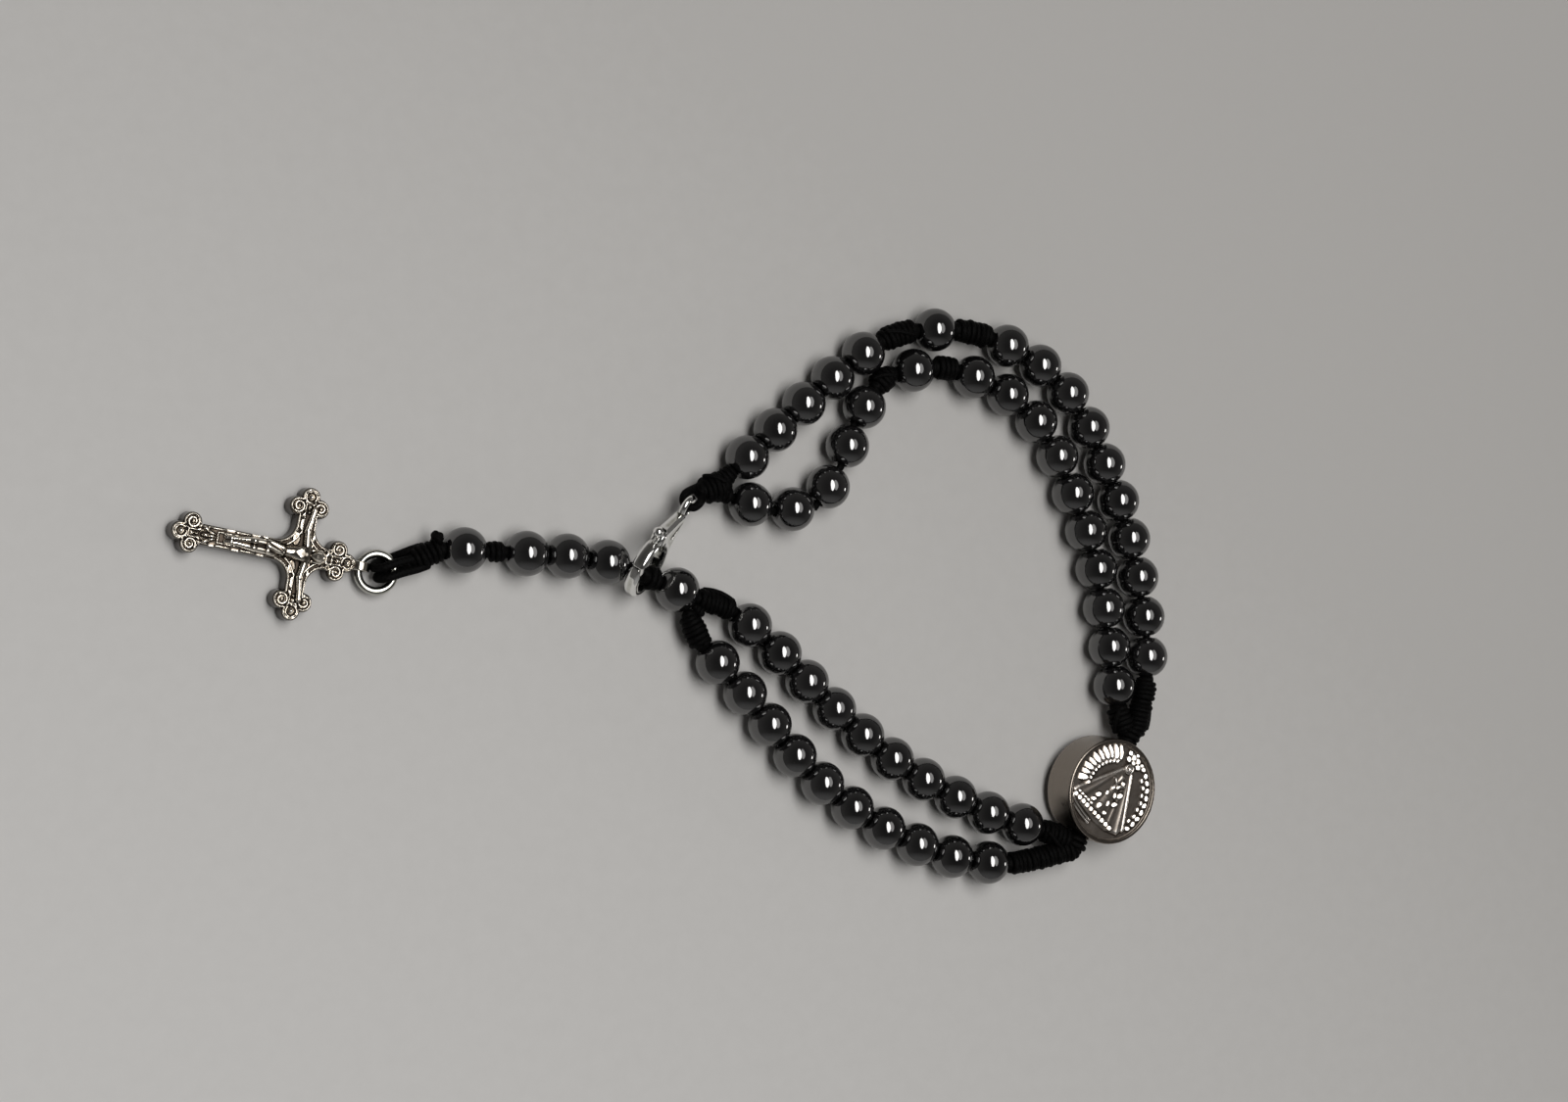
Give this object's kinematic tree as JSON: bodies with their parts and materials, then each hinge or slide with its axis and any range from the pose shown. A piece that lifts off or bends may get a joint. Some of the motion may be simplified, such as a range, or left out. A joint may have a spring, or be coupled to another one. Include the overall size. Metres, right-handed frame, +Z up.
{
  "type": "rosary bracelet",
  "caption": "Rosary bracelet of round dark beads on knotted cord, two strands wide, with a medal bead, a lobster clasp and a cast crucifix on a short stem.",
  "frame": {"origin": "centre of the outline on the surface that the bracelet lies on", "axes": "+X from the crucifix's foot to the far side of the loop, +Z up from the surface"},
  "size_m": [0.1198, 0.0666, 0.0079],
  "materials": {
    "hematite": "polished",
    "cord": "matte",
    "antique_silver": "antiqued",
    "silver": "polished"
  },
  "bodies": {
    "bracelet": {"crucifix": "antique_silver", "jump_ring": "silver", "ring_loop": "cord", "stem_end_knot": "cord", "stem_single": "hematite", "stem_knot": "cord", "stem_three": "hematite", "grip_knot": "cord", "join_bead": "hematite", "stem_cord": "cord", "inner_cord": "cord", "outer_cord": "cord", "join_knots": "cord", "lower_inner_ten": "hematite", "lower_outer_ten": "hematite", "lower_end_knots": "cord", "medal": "antique_silver", "upper_end_knots": "cord", "upper_inner_ten": "hematite", "upper_inner_knot_b": "cord", "upper_inner_single": "hematite", "upper_inner_knot_a": "cord", "upper_inner_five": "hematite", "upper_outer_ten": "hematite", "upper_outer_knot_b": "cord", "upper_outer_single": "hematite", "upper_outer_knot_a": "cord", "upper_outer_five": "hematite", "clasp_knot": "cord", "clasp_loop": "cord", "clasp_body": "silver"},
    "lever": {"clasp_lever": "silver"}
  },
  "joints": [
    {"name": "clasp_lever_hinge", "type": "hinge", "parent": "bracelet", "child": "lever", "pos_m": [-0.00656, 0.00679, 0.00568], "axis": [0.6817, -0.5044, 0.5299], "range_deg": [0, 13], "stiffness_Nm_per_rad": 0.001}
  ]
}
